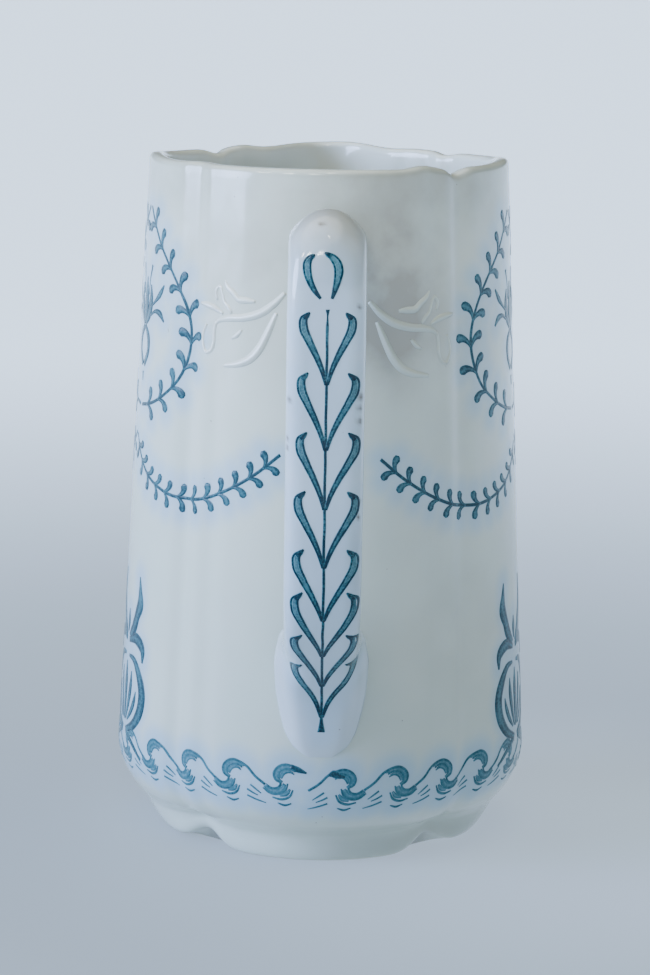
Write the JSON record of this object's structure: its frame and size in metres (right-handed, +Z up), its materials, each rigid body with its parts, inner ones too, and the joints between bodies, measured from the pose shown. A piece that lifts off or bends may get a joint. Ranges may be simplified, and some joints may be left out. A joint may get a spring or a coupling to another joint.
{
  "type": "cream jug",
  "caption": "Tall tapering porcelain cream jug with lobed walls, a pulled spout, a strap handle and blue underglaze sprigs.",
  "frame": {"origin": "on the table plane under the foot, on the axis of the body", "axes": "+Z up through the rim, -Y towards the handle, +Y towards the spout, +X to the right seen from the handle"},
  "size_m": [0.0732, 0.0996, 0.121],
  "materials": {
    "glazed_porcelain": "clear gloss glaze over off-white body",
    "glazed_handle": "clear gloss glaze, tinted lavender-blue by the underglaze print",
    "underglaze_blue": "teal-blue transfer print under the glaze"
  },
  "bodies": {
    "root": {"jug_body": "glazed_porcelain", "handle": "glazed_handle", "upper_luting_pad": "glazed_porcelain", "lower_luting_pad": "glazed_porcelain", "relief_scroll_left": "glazed_porcelain", "relief_scroll_right": "glazed_porcelain"}
  },
  "joints": []
}
